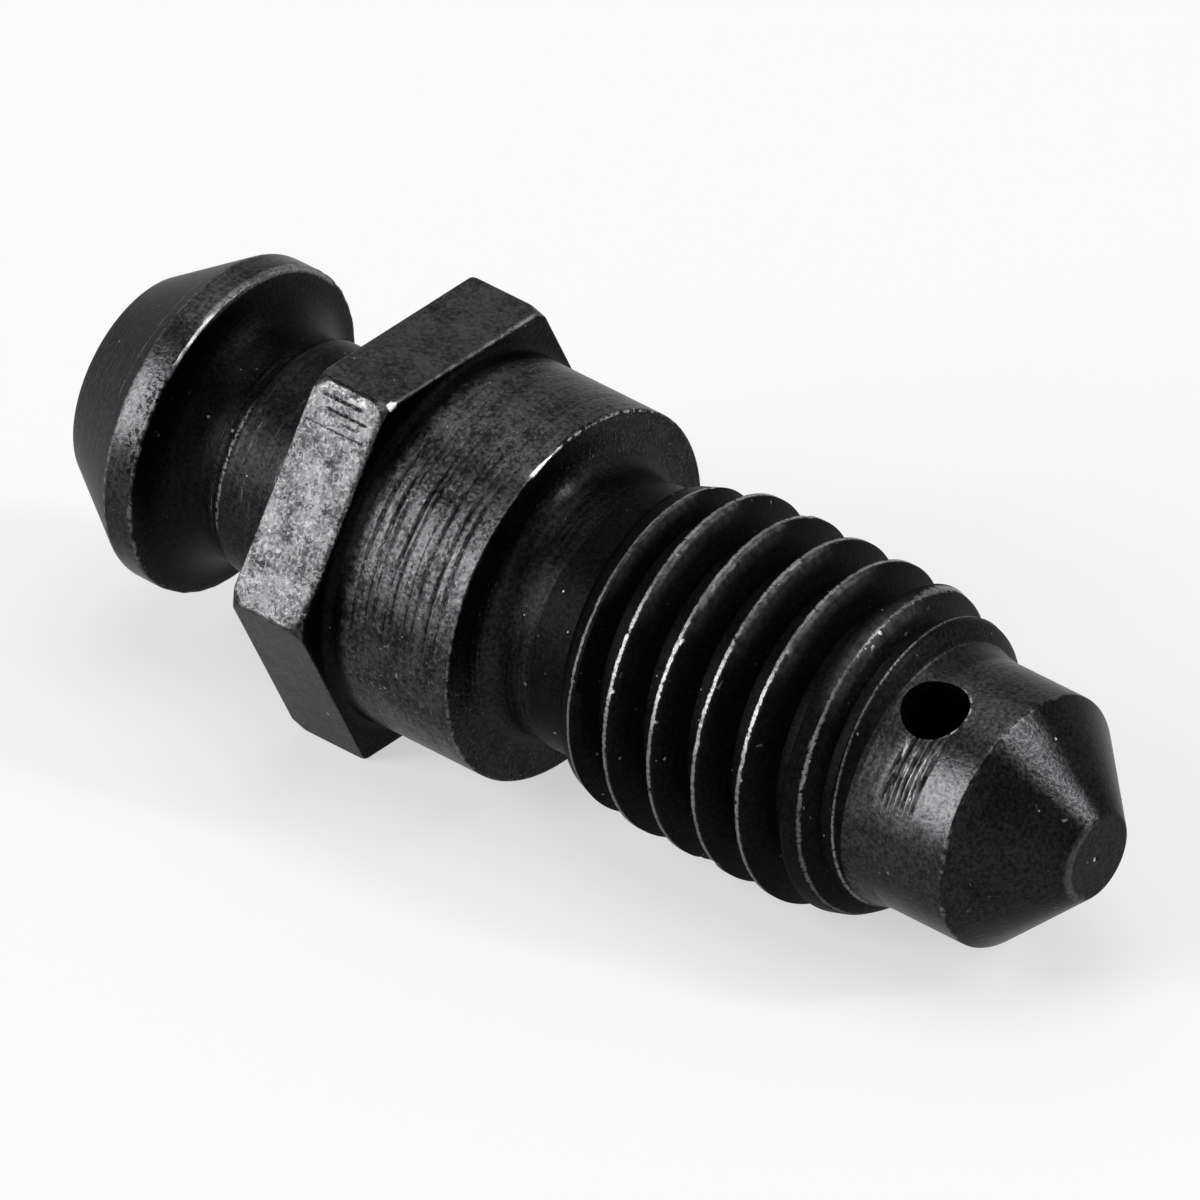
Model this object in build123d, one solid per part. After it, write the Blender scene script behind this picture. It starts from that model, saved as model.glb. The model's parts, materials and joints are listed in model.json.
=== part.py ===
from build123d import *
import math
import os

# Bleed screw: one turned steel piece with a hose nipple, a hexagon, a collar, an M8 x 1.25
# thread and a cone seat, drilled along its axis from the nipple to a cross hole in the shank.
#
# Each function works in the screw's own frame: the axis is Z, the tip points to +Z, Z = 0 is the
# collar's end face, and +X is the middle of one hexagon flat. The last step lays the screw down
# as it comes to rest. All sizes are millimetres.

# Hose nipple
NOSE_Z = -12.32
NOSE_RADIUS = 2.55
NOSE_EDGE_CHAMFER = 0.06
LAND_Z = -10.28
LAND_RADIUS = 3.94
RIM_Z = -9.50
RIM_RADIUS = 3.95
RIM_EDGE_CHAMFER = 0.08

# Neck, with the form-tool groove behind the nipple's head
NECK_RADIUS = 2.84
NECK_GROOVE_RADIUS = 1.10
NECK_GROOVE_DEPTH = 0.11

# Hexagon
HEX_BACK_Z = -5.46
HEX_FRONT_Z = -3.45
HEX_ACROSS_FLATS = 9.42
HEX_CHAMFER_LENGTH = 0.34
HEX_CHAMFER_DEPTH = 0.15

# Collar and the undercut in front of it
COLLAR_RADIUS = 4.475
COLLAR_ROOT_SIZE = 0.20
COLLAR_EDGE_CHAMFER = 0.05
UNDERCUT_RADIUS = 3.18
UNDERCUT_BLEND = 0.62

# Thread, M8 x 1.25 right-handed
THREAD_PITCH = 1.25
THREAD_MAJOR_RADIUS = 3.975
THREAD_ROOT_RADIUS = 3.23
THREAD_CREST_WIDTH = THREAD_PITCH / 8
THREAD_FLANK_ANGLE = 30.0
THREAD_CREST_Z = 2.50
THREAD_START_Z = 1.28
THREAD_FULL_Z = 3.39
LEAD_START_Z = 8.30
LEAD_BREAK_Z = 9.82
LEAD_BREAK_RADIUS = 3.55
LEAD_FOOT_Z = 10.15
LEAD_FOOT_RADIUS = 3.12
RIDGE_OVERLAP = 0.12

# Shank and cone seat
SHANK_Z = 10.70
SHANK_RADIUS = 3.03
CONE_Z = 12.79
TIP_Z = 14.81
TIP_RADIUS = 1.03
TIP_MARK_RADIUS = 0.15
TIP_MARK_DEPTH = 0.10

# Fluid passage
BORE_RADIUS = 1.00
BORE_MOUTH_CHAMFER = 0.25
DRILL_POINT_ANGLE = 118.0
CROSS_HOLE_Z = 11.00
CROSS_HOLE_RADIUS = 0.78
CROSS_HOLE_ANGLE = 24.0


def corner_cut(section, z, radius, size):
    """Chamfer the corner of a half section that lies at height z and the given radius."""
    corner = section.vertices().sort_by_distance(Vector(radius, 0, z))[0]
    return chamfer(corner, size)


def turned_body():
    """Everything the lathe makes outside, as one revolved half section with a plain root."""
    groove_floor = NECK_RADIUS - NECK_GROOVE_DEPTH
    groove_rise = NECK_GROOVE_RADIUS - NECK_GROOVE_DEPTH
    rim_rise = groove_floor + NECK_GROOVE_RADIUS - RIM_RADIUS
    groove_z = RIM_Z + math.sqrt(NECK_GROOVE_RADIUS**2 - rim_rise**2)
    neck_edge_z = groove_z + math.sqrt(NECK_GROOVE_RADIUS**2 - groove_rise**2)

    head = Plane.XZ * Polyline(
        (0, NOSE_Z), (NOSE_RADIUS, NOSE_Z), (LAND_RADIUS, LAND_Z), (RIM_RADIUS, RIM_Z)
    )
    groove = Plane.XZ * ThreePointArc(
        (RIM_RADIUS, RIM_Z), (groove_floor, groove_z), (NECK_RADIUS, neck_edge_z)
    )
    middle = Plane.XZ * Polyline(
        (NECK_RADIUS, neck_edge_z),
        (NECK_RADIUS, HEX_BACK_Z),
        (COLLAR_RADIUS + COLLAR_ROOT_SIZE, HEX_BACK_Z),
        (COLLAR_RADIUS + COLLAR_ROOT_SIZE, HEX_FRONT_Z),
        (COLLAR_RADIUS, HEX_FRONT_Z + COLLAR_ROOT_SIZE),
        (COLLAR_RADIUS, 0),
        (UNDERCUT_RADIUS + UNDERCUT_BLEND, 0),
    )
    undercut_blend = Plane.XZ * Bezier(
        (UNDERCUT_RADIUS + UNDERCUT_BLEND, 0), (UNDERCUT_RADIUS, 0), (UNDERCUT_RADIUS, UNDERCUT_BLEND)
    )
    shank = Plane.XZ * Polyline(
        (UNDERCUT_RADIUS, UNDERCUT_BLEND),
        (UNDERCUT_RADIUS, THREAD_START_Z),
        (THREAD_ROOT_RADIUS, THREAD_START_Z),
        (THREAD_ROOT_RADIUS, lead_z(THREAD_ROOT_RADIUS)),
        (LEAD_FOOT_RADIUS, LEAD_FOOT_Z),
        (SHANK_RADIUS, SHANK_Z),
        (SHANK_RADIUS, CONE_Z),
        (TIP_RADIUS, TIP_Z),
        (0, TIP_Z),
        (0, NOSE_Z),
    )
    section = make_face(head + groove + middle + undercut_blend + shank)
    section = corner_cut(section, NOSE_Z, NOSE_RADIUS, NOSE_EDGE_CHAMFER)
    section = corner_cut(section, RIM_Z, RIM_RADIUS, RIM_EDGE_CHAMFER)
    section = corner_cut(section, 0, COLLAR_RADIUS, COLLAR_EDGE_CHAMFER)
    return revolve(section, Axis.Z, 360)


def lead_z(radius):
    """Height at which the steep end of the thread's lead has come down to this radius."""
    slope = (LEAD_FOOT_Z - LEAD_BREAK_Z) / (LEAD_BREAK_RADIUS - LEAD_FOOT_RADIUS)
    return LEAD_FOOT_Z - (radius - LEAD_FOOT_RADIUS) * slope


def hexagon():
    """The wrench hexagon, with a small facet on each corner at both of its faces."""
    half_thickness = (HEX_FRONT_Z - HEX_BACK_Z) / 2
    flats = RegularPolygon(HEX_ACROSS_FLATS / 2, 6, major_radius=False, rotation=30)
    prism = extrude(flats, half_thickness, both=True)
    corner_radius = HEX_ACROSS_FLATS / 2 / math.cos(math.radians(30))
    slope = HEX_CHAMFER_DEPTH / HEX_CHAMFER_LENGTH
    middle_radius = corner_radius + (half_thickness - HEX_CHAMFER_LENGTH) * slope
    facets = RegularPolygon(middle_radius, 6, major_radius=False)
    corners = extrude(facets, half_thickness, both=True, taper=math.degrees(math.atan(slope)))
    return Pos(0, 0, HEX_BACK_Z + half_thickness) * (prism & corners)


def ridge_turns(first, last):
    """A stretch of the plain helical ridge, 60 degree section, counted in turns from its crest."""
    flank = math.tan(math.radians(THREAD_FLANK_ANGLE))
    inner = THREAD_ROOT_RADIUS - RIDGE_OVERLAP
    half_inner = THREAD_CREST_WIDTH / 2 + (THREAD_MAJOR_RADIUS - inner) * flank
    half_crest = THREAD_CREST_WIDTH / 2
    start = THREAD_CREST_Z + first * THREAD_PITCH
    section = make_face(
        Plane.XZ * Polyline(
            (inner, start - half_inner),
            (THREAD_MAJOR_RADIUS, start - half_crest),
            (THREAD_MAJOR_RADIUS, start + half_crest),
            (inner, start + half_inner),
            close=True,
        )
    )
    path = Helix(THREAD_PITCH, (last - first) * THREAD_PITCH, inner, center=(0, 0, start))
    return sweep(section, path=path, is_frenet=True)


def turned_away(*outline):
    """Ring of metal outside a turned outline, given as (radius, z) corners."""
    outside = THREAD_MAJOR_RADIUS + 1
    ring = Plane.XZ * Polyline((outside, outline[0][1]), *outline, (outside, outline[-1][1]), close=True)
    return revolve(make_face(ring), Axis.Z, 360)


def thread():
    """The thread's turns: full ones in the middle, chamfered ones at both ends."""
    start_slope = (THREAD_MAJOR_RADIUS - THREAD_ROOT_RADIUS) / (THREAD_FULL_Z - THREAD_START_Z)
    entry = turned_away(
        (THREAD_ROOT_RADIUS - start_slope, THREAD_START_Z - 1),
        (THREAD_MAJOR_RADIUS + start_slope, THREAD_FULL_Z + 1),
    )
    lead_slope = (THREAD_MAJOR_RADIUS - LEAD_BREAK_RADIUS) / (LEAD_BREAK_Z - LEAD_START_Z)
    lead = turned_away(
        (THREAD_MAJOR_RADIUS + lead_slope, LEAD_START_Z - 1),
        (LEAD_BREAK_RADIUS, LEAD_BREAK_Z),
        (LEAD_FOOT_RADIUS - RIDGE_OVERLAP, LEAD_FOOT_Z),
        (LEAD_FOOT_RADIUS - RIDGE_OVERLAP, SHANK_Z + 2 * THREAD_PITCH),
    )
    entry_turns = [ridge_turns(turn, turn + 1) - entry for turn in (-1, 0)]
    last_full = math.floor((LEAD_START_Z - THREAD_CREST_Z) / THREAD_PITCH)
    last_turn = math.ceil((SHANK_Z - THREAD_CREST_Z) / THREAD_PITCH)
    lead_turns = [ridge_turns(turn, turn + 1) - lead for turn in range(last_full, last_turn)]
    return entry_turns + [ridge_turns(1, last_full)] + lead_turns


def drilled_passage():
    """The axial bore with its mouth chamfer, the cross hole, and the drill's mark in the tip."""
    point_length = BORE_RADIUS / math.tan(math.radians(DRILL_POINT_ANGLE / 2))
    shoulder_z = CROSS_HOLE_Z + CROSS_HOLE_RADIUS
    bore = Plane.XZ * Polyline(
        (0, NOSE_Z - 1),
        (BORE_RADIUS + BORE_MOUTH_CHAMFER + 1, NOSE_Z - 1),
        (BORE_RADIUS, NOSE_Z + BORE_MOUTH_CHAMFER),
        (BORE_RADIUS, shoulder_z),
        (0, shoulder_z + point_length),
        close=True,
    )
    cross_reach = SHANK_RADIUS + 1
    cross = Cylinder(CROSS_HOLE_RADIUS, cross_reach, align=(Align.CENTER, Align.CENTER, Align.MIN))
    cross = Rot(0, 0, CROSS_HOLE_ANGLE) * Pos(0, 0, CROSS_HOLE_Z) * Rot(0, 90, 0) * cross
    mark = Pos(0, 0, TIP_Z) * Rot(180, 0, 0) * Cone(
        TIP_MARK_RADIUS, 0, TIP_MARK_DEPTH, align=(Align.CENTER, Align.CENTER, Align.MIN)
    )
    return revolve(make_face(bore), Axis.Z, 360) + cross + mark


def lying(screw):
    """Lay the screw on a hexagon edge and the last full thread crest, tip low and towards +X."""
    turns_up = math.floor((LEAD_START_Z - THREAD_CREST_Z) / THREAD_PITCH - 0.5) + 0.5
    crest_z = THREAD_CREST_Z + turns_up * THREAD_PITCH + THREAD_CREST_WIDTH / 2
    drop = HEX_ACROSS_FLATS / 2 - THREAD_MAJOR_RADIUS
    tilt = math.degrees(math.atan2(drop, crest_z - HEX_FRONT_Z))
    laid = Rot(0, 90 + tilt, 0) * Rot(0, 0, 180) * screw
    box = laid.bounding_box()
    return Pos(-box.center().X, -box.center().Y, -box.min.Z) * laid


def bleed_screw():
    """The whole screw, as one solid."""
    solid = turned_body() + hexagon()
    for turns in thread():
        solid += turns
    return lying(solid - drilled_passage())


os.makedirs("parts", exist_ok=True)
screw = bleed_screw()
export_step(screw, "parts/bleed_screw.step")
print("solids", len(screw.solids()), "volume", round(screw.volume, 2), "valid", screw.is_valid)
print("box", screw.bounding_box())
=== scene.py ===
import json
import math

import bmesh
import bpy
import numpy as np
from mathutils import Matrix, Vector


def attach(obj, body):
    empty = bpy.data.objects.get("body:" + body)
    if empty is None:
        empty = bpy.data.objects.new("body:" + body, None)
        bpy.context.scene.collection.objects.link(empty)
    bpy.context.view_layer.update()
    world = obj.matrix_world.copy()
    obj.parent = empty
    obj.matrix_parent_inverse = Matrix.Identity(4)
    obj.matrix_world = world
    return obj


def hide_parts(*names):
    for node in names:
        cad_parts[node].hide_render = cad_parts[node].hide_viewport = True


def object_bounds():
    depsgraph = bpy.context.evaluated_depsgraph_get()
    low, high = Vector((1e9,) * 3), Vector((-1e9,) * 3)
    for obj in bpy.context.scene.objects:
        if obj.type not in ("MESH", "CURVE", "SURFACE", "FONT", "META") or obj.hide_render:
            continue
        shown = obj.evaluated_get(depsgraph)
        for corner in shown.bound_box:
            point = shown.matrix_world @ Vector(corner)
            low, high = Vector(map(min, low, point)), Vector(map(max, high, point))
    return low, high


# A bleed screw of turned, black-oxided steel. The visible screw is one mesh in the screw's own
# frame: the axis is Z, the tip points to +Z, Z = 0 is the collar's end face, and +X is the middle
# of the hexagon flat that faces up. Its sizes are millimetres; MM turns them into metres.

MM = 0.001

# Hose nipple
NOSE_Z, NOSE_RADIUS, NOSE_ROUND = -12.319, 2.55, 0.05
LAND_Z, LAND_RADIUS, LAND_ROUND = -10.28, 3.94, 0.06
RIM_Z, RIM_RADIUS, RIM_ROUND = -9.50, 3.95, 0.05
BORE_RADIUS, BORE_MOUTH, BORE_FLOOR_Z, DRILL_POINT = 1.00, 0.25, 11.78, 0.60

# Neck, with the dished back of the nipple's head, and the fine line that the tool left on it
NECK_RADIUS, DISH_RADIUS, DISH_DEPTH = 2.84, 1.10, 0.11
DISH_END_Z, NECK_LINE_Z = -8.30, -7.95

# Hexagon and collar
HEX_BACK_Z, HEX_FRONT_Z, HEX_ACROSS_FLATS = -5.46, -3.45, 9.42
HEX_CHAMFER_LENGTH, HEX_CHAMFER_DEPTH, HEX_ROUND = 0.34, 0.15, 0.045
HEX_MIDDLE_Z = (HEX_BACK_Z + HEX_FRONT_Z) / 2
HEX_CORNER_CUT, HEX_SOFT = 0.012, 0.02
COLLAR_RADIUS, COLLAR_ROOT, COLLAR_ROUND = 4.475, 0.20, 0.045
UNDERCUT_RADIUS, UNDERCUT_BLEND = 3.18, 0.55

# Two corners have only this share of the chamfer: where the one behind and the one in front stand
SHARP_SHARE, SHARP_BACK, SHARP_FRONT = 0.35, math.radians(330), math.radians(150)

# Dents along one corner: where it stands, their width round the axis, and their depth
DENTED_CORNER, DENT_WIDTH, DENT_DEPTH = math.radians(90), math.radians(0.8), 0.03

# Thread, M8 x 1.25
PITCH = 1.25
MAJOR_RADIUS, ROOT_RADIUS = 3.975, 3.23
CREST_WIDTH, FLANK_ANGLE, CREST_Z, CREST_SOFT = PITCH / 8, math.radians(30), 2.50, 0.03
THREAD_START_Z, THREAD_FULL_Z = 1.28, 3.39
LEAD_START_Z, LEAD_BREAK_Z, LEAD_BREAK_RADIUS = 8.30, 9.82, 3.55
LEAD_FOOT_Z, LEAD_FOOT_RADIUS = 10.15, 3.12
ENTRY_SLOPE = (MAJOR_RADIUS - ROOT_RADIUS) / (THREAD_FULL_Z - THREAD_START_Z)
LEAD_SLOPE = (MAJOR_RADIUS - LEAD_BREAK_RADIUS) / (LEAD_BREAK_Z - LEAD_START_Z)
END_SLOPE = (LEAD_BREAK_RADIUS - LEAD_FOOT_RADIUS) / (LEAD_FOOT_Z - LEAD_BREAK_Z)

# The ridge's first turn rises out of the root between these turns, from this far below its height
ENTRY_TURNS, ENTRY_DROP = (-0.5, -0.2), 0.35

# The ridge's flanks run on below the root, down to a base well inside the body
RIDGE_SUNK, RIDGE_BASE = 0.10, 2.85

# Shank, cross hole and cone seat
SHANK_Z, SHANK_RADIUS = 10.70, 3.03
CONE_Z, CONE_ROUND = 12.79, 0.04
TIP_Z, TIP_RADIUS, TIP_ROUND = 14.81, 1.03, 0.05
MARK_RADIUS, MARK_DEPTH = 0.09, 0.08
PORT_Z, PORT_RADIUS, PORT_ANGLE = 11.00, 0.78, 24.0

# Grooves of the turning tool: where along the axis, first and last degree, depth
COLLAR_GROOVES = (-2.74, -2.40, -2.24, -1.88, -1.70, -1.36, -1.14, -0.74, -0.47)
SHANK_GROOVES = (10.92, 11.05, 11.17, 11.31, 11.42, 11.57, 11.72)
GROOVES = ((COLLAR_GROOVES, 38, 80, 0.040), (SHANK_GROOVES, 38, 64, 0.048))
GROOVE_FADE, GROOVE_WIDTH = 14, 0.038

# How a groove strays along the axis: size of each wave, its count round the screw, its phase per mm
GROOVE_WAVES = ((0.022, 3, 7), (0.010, 8, 3))

# Nick in the collar's end edge: first and last degree, depth, length along the axis
NICK_START, NICK_END, NICK_DEPTH, NICK_LENGTH = 13, 24, 0.06, 0.12

# Small nicks along the thread's crest, and the rolled rim's unevenness: depth, waves round the screw
CREST_NICKS = 22
RIM_DAMAGE, RIM_WAVES = 0.02, 45

# How finely the mesh is cut: degrees beside a hexagon corner, counts, and lengths along the outline
CORNER_OFFSETS = (0, 0.25, 0.55, 0.95, 1.5, 2.2, 3.0, 4.0, 5.2)
SECTOR_STEPS, FACE_STEPS, ARC_STEPS, DISH_STEPS = 20, 8, 4, 22
PORT_SIDES, RIDGE_STEPS = 96, 144
SHARP_ANGLE = math.radians(38)
MARK_STEP, SIDE_STEP, FINE_STEP, FACE_STEP = 0.036, 0.085, 0.12, 0.15
TIP_STEP, ROOT_STEP, BORE_STEP = 0.2, 0.4, 1.5

# Colours of the oxide skin, of the painted shade and of scored lines, of bare metal and painted highlights,
# and of grazing reflections
DARK_SKIN, LIGHT_SKIN = (0.024, 0.024, 0.0255), (0.125, 0.124, 0.129)
PAINTED_SHADE_COLOUR, SCORE = (0.0022, 0.0020, 0.0021), (0.0042, 0.0038, 0.0039)
BARE_METAL_AND_HIGHLIGHT = (0.78, 0.775, 0.775)
SPECULAR_TINT = (0.68, 0.68, 0.68, 1)

# Floor: half its width in metres, its colour, and how much of what the camera sees is plain white
FLOOR_SIZE, FLOOR_COLOUR, WHITE_SHARE = 2, (0.96, 0.96, 0.96), 0.55

# World: upward part of the view's direction, and brightness there, at the horizon and overhead
HORIZON, OVERHEAD = (0.1, 0.65), (0.85, 0.10)

# Camera: the direction it looks from, and where it looks
CAMERA_AZIMUTH = math.radians(38.628)
CAMERA_ELEVATION = math.radians(31.711)
CAMERA_ROLL = math.radians(0.494)
CAMERA_DISTANCE, CAMERA_LENS, SENSOR_WIDTH = 0.88515, 1200, 36
AIM_OFFSET = Vector((-0.56, 0.11, -0.19)) * MM

rng = np.random.default_rng(8)


# ------------------------ placing

def screw_frame(record):
    """Matrix from the screw's own frame to the part's, from the cone seat's and the flat's mounts."""
    mounts = {mount["name"]: mount for mount in record["mounts"]}
    axis = Vector(mounts["seat_cone"]["axis"]).normalized()
    up = Vector(mounts["wrench_flat"]["axis"]).normalized()
    origin = Vector(mounts["seat_cone"]["pos_m"]) - axis * TIP_Z * MM
    matrix = Matrix((up, axis.cross(up), axis)).transposed().to_4x4()
    matrix.translation = origin
    return matrix


# ------------------------ outline of the turned surfaces

def with_rounds(corners):
    """Outline points from (z, radius, round) corners: each corner with a round becomes a short curve."""
    points = []
    for index, (z, radius, size) in enumerate(corners):
        here = np.array((z, radius))
        if not size:
            points.append(here)
            continue
        before = np.array(corners[index - 1][:2]) - here
        after = np.array(corners[index + 1][:2]) - here
        start = here + before / np.linalg.norm(before) * size
        end = here + after / np.linalg.norm(after) * size
        for t in np.linspace(0, 1, ARC_STEPS + 1):
            points.append((1 - t) ** 2 * start + 2 * t * (1 - t) * here + t * t * end)
    return points


def divided(points, step):
    """The same outline with no stretch longer than step."""
    cut = [points[0]]
    for start, end in zip(points, points[1:]):
        pieces = max(1, math.ceil(np.linalg.norm(end - start) / step - 1e-6))
        cut += [start + (end - start) * k / pieces for k in range(1, pieces + 1)]
    return cut


def arc(centre, radius, start, end, steps):
    """Points of an arc in the (z, radius) plane, angles in degrees from the +z direction."""
    angles = np.radians(np.linspace(start, end, steps + 1))
    return [np.array((centre[0] + radius * math.cos(a), centre[1] + radius * math.sin(a))) for a in angles]


def lead_z(radius):
    """Height at which the steep end of the thread's lead has come down to this radius."""
    return LEAD_FOOT_Z - (radius - LEAD_FOOT_RADIUS) / END_SLOPE


def bore_outline():
    """From the drill point deep inside to the mouth in the nose."""
    points = with_rounds([
        (BORE_FLOOR_Z + DRILL_POINT, 0, 0),
        (BORE_FLOOR_Z, BORE_RADIUS, 0),
        (NOSE_Z + BORE_MOUTH, BORE_RADIUS, 0),
        (NOSE_Z, BORE_RADIUS + BORE_MOUTH, 0.03),
        (NOSE_Z, NOSE_RADIUS - 4 * NOSE_ROUND, 0),
    ])
    return divided(points, BORE_STEP)


def head_outline():
    """The nipple's nose, cone and land, and the dished back of its head."""
    points = divided(with_rounds([
        (NOSE_Z, NOSE_RADIUS - 4 * NOSE_ROUND, 0),
        (NOSE_Z, NOSE_RADIUS, NOSE_ROUND),
        (LAND_Z, LAND_RADIUS, LAND_ROUND),
        (RIM_Z, RIM_RADIUS, RIM_ROUND),
        (RIM_Z + 0.02, RIM_RADIUS - 4 * RIM_ROUND, 0),
    ]), FINE_STEP)
    floor_radius = NECK_RADIUS - DISH_DEPTH
    centre_radius = floor_radius + DISH_RADIUS
    rise = centre_radius - points[-1][1]
    start = math.degrees(math.asin(rise / DISH_RADIUS))
    centre_z = points[-1][0] + DISH_RADIUS * math.cos(math.radians(start))
    end = math.degrees(math.asin((DISH_RADIUS - DISH_DEPTH) / DISH_RADIUS))
    dish = arc((centre_z, centre_radius), DISH_RADIUS, 180 + start, 360 - end, DISH_STEPS)
    return points + dish[1:]


def neck_outline(neck_edge_z):
    """The neck, from the dish's edge to the hexagon."""
    neck = [np.array((neck_edge_z, NECK_RADIUS)), np.array((HEX_BACK_Z, NECK_RADIUS))]
    return divided(neck, FINE_STEP)[1:]


def collar_outline():
    """The collar from its root to its end face, and the undercut, up to the thread."""
    root = arc((HEX_FRONT_Z + COLLAR_ROOT, COLLAR_RADIUS + COLLAR_ROOT), COLLAR_ROOT, 180, 270, 4)
    collar = divided(with_rounds([
        (HEX_FRONT_Z + COLLAR_ROOT, COLLAR_RADIUS, 0),
        (0, COLLAR_RADIUS, COLLAR_ROUND),
        (0, COLLAR_RADIUS - 4 * COLLAR_ROUND, 0),
    ]), MARK_STEP)
    blend = arc((UNDERCUT_BLEND, UNDERCUT_RADIUS + UNDERCUT_BLEND), UNDERCUT_BLEND, 180, 270, 8)
    face = divided([collar[-1], blend[0]], FACE_STEP)
    undercut = divided([
        blend[-1],
        np.array((THREAD_START_Z, UNDERCUT_RADIUS)),
        np.array((THREAD_START_Z, ROOT_RADIUS)),
    ], FACE_STEP)
    return root[1:] + collar[1:] + face[1:] + blend[1:] + undercut[1:]


def shank_outline():
    """The thread's root, the shank and the cone seat, up to the drill mark in the tip."""
    low, high = SHANK_GROOVES[0] - 0.1, SHANK_GROOVES[-1] + 0.1
    root = divided(with_rounds([
        (THREAD_START_Z, ROOT_RADIUS, 0),
        (lead_z(ROOT_RADIUS), ROOT_RADIUS, 0),
        (LEAD_FOOT_Z, LEAD_FOOT_RADIUS, 0.08),
        (SHANK_Z, SHANK_RADIUS, 0.04),
        (low, SHANK_RADIUS, 0),
    ]), ROOT_STEP)
    marked = divided([root[-1], np.array((high, SHANK_RADIUS))], MARK_STEP)
    tip = divided(with_rounds([
        (high, SHANK_RADIUS, 0),
        (CONE_Z, SHANK_RADIUS, CONE_ROUND),
        (TIP_Z, TIP_RADIUS, TIP_ROUND),
        (TIP_Z, MARK_RADIUS, 0.02),
        (TIP_Z - MARK_DEPTH, 0, 0),
    ]), TIP_STEP)
    return root[1:] + marked[1:] + tip[1:]


# ------------------------ the turned body with its hexagon

def round_angles():
    """Angles of the mesh's lengthwise lines: even ones, and closer ones near the hexagon's corners."""
    offsets = [side * offset for offset in CORNER_OFFSETS for side in (-1, 1) if side > 0 or offset]
    even = np.linspace(CORNER_OFFSETS[-1], 60 - CORNER_OFFSETS[-1], SECTOR_STEPS + 1)[1:-1]
    sector = sorted(offsets + list(even))
    return np.radians(np.array([30 + 60 * corner + angle for corner in range(6) for angle in sector]))


def smooth_min(a, b, size):
    """The smaller of two values, with the step between them rounded over size."""
    blend = np.clip(0.5 + 0.5 * (b - a) / size, 0, 1)
    return b + (a - b) * blend - size * blend * (1 - blend)


def hexagon_radius(angle, z):
    """Distance of the hexagon's outside from the axis, with its turned corners and soft edges."""
    folded = (angle + math.pi / 6) % (math.pi / 3) - math.pi / 6
    flat = HEX_ACROSS_FLATS / 2 / np.cos(folded)
    corner = HEX_ACROSS_FLATS / 2 / math.cos(math.pi / 6)
    depth = np.minimum(z - HEX_BACK_Z, HEX_FRONT_Z - z)
    beside = math.radians(15)
    sharp_back = (np.abs(angle - SHARP_BACK) < beside) & (z < HEX_MIDDLE_Z)
    sharp_front = (np.abs(angle - SHARP_FRONT) < beside) & (z > HEX_MIDDLE_Z)
    chamfer = np.where(sharp_back | sharp_front, SHARP_SHARE, 1)
    turned = corner - HEX_CHAMFER_DEPTH * chamfer * (1 - depth / HEX_CHAMFER_LENGTH / chamfer)
    radius = smooth_min(flat, turned, HEX_SOFT)
    radius = smooth_min(radius, corner - HEX_CORNER_CUT, HEX_SOFT)
    at_corner = np.exp(-((angle - DENTED_CORNER) / DENT_WIDTH) ** 2)
    dents = np.clip(np.sin(z * 13) + np.sin(z * 31 + 1), 0, 1)
    radius = radius - DENT_DEPTH * at_corner * dents
    inset = np.clip(HEX_ROUND - depth, 0, None)
    return radius - (HEX_ROUND - np.sqrt(HEX_ROUND**2 - inset**2))


def face_rows(angles, z, inner_radius, inward):
    """Rows of one hexagon face, from the ring at inner_radius out to the hexagon, or back in."""
    outer = hexagon_radius(angles, z)
    shares = np.linspace(0, 1, FACE_STEPS + 1)[1:]
    rows = [(np.full_like(angles, z), inner_radius + (outer - inner_radius) * share) for share in shares]
    return rows[::-1] if inward else rows


def hexagon_rows(angles):
    """Rows over the hexagon: back face, sides and front face."""
    ends = [np.array((HEX_BACK_Z + HEX_ROUND, 0)), np.array((HEX_FRONT_Z - HEX_ROUND, 0))]
    side = divided(ends, SIDE_STEP)
    bends = [HEX_ROUND * (1 - math.cos(math.radians(a))) for a in (25, 50, 75)]
    heights = [HEX_BACK_Z + bend for bend in bends] + [point[0] for point in side]
    heights += [HEX_FRONT_Z - bend for bend in bends[::-1]]
    rows = face_rows(angles, HEX_BACK_Z, NECK_RADIUS, False)
    rows += [(np.full_like(angles, z), hexagon_radius(angles, z)) for z in heights]
    return rows + face_rows(angles, HEX_FRONT_Z, COLLAR_RADIUS + COLLAR_ROOT, True)


def ring_rows(outline, angles):
    """Rows of a round surface, one for each outline point."""
    return [(np.full_like(angles, z), np.full_like(angles, radius)) for z, radius in outline]


def turned_mesh():
    """The body as a closed mesh of revolution, in millimetres in the screw's frame."""
    angles = round_angles()
    head = head_outline()
    rows = ring_rows(bore_outline()[1:] + head[1:] + neck_outline(head[-1][0]), angles)
    rows += hexagon_rows(angles)
    rows += ring_rows([np.array((HEX_FRONT_Z, COLLAR_RADIUS + COLLAR_ROOT))], angles)
    rows += ring_rows(collar_outline() + shank_outline()[:-1], angles)
    z = np.array([row[0] for row in rows])
    radius = np.array([row[1] for row in rows])
    radius = edge_damage(z, tool_marks(z, radius, angles), angles)
    points = np.stack([radius * np.cos(angles), radius * np.sin(angles), z], axis=-1).reshape(-1, 3)
    apexes = [(0, 0, BORE_FLOOR_Z + DRILL_POINT), (0, 0, TIP_Z - MARK_DEPTH)]
    return np.vstack([points, apexes]), grid_faces(*z.shape)


def grid_faces(rows, columns):
    """Quads of a tube of rows, and the two fans that close it on the last two points."""
    faces = []
    for row in range(rows - 1):
        for column in range(columns):
            beside = (column + 1) % columns
            a, b = row * columns + column, row * columns + beside
            faces.append((a, b, b + columns, a + columns))
    first, last = rows * columns, rows * columns + 1
    top = (rows - 1) * columns
    for column in range(columns):
        beside = (column + 1) % columns
        faces.append((first, beside, column))
        faces.append((last, top + column, top + beside))
    return faces


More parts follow.
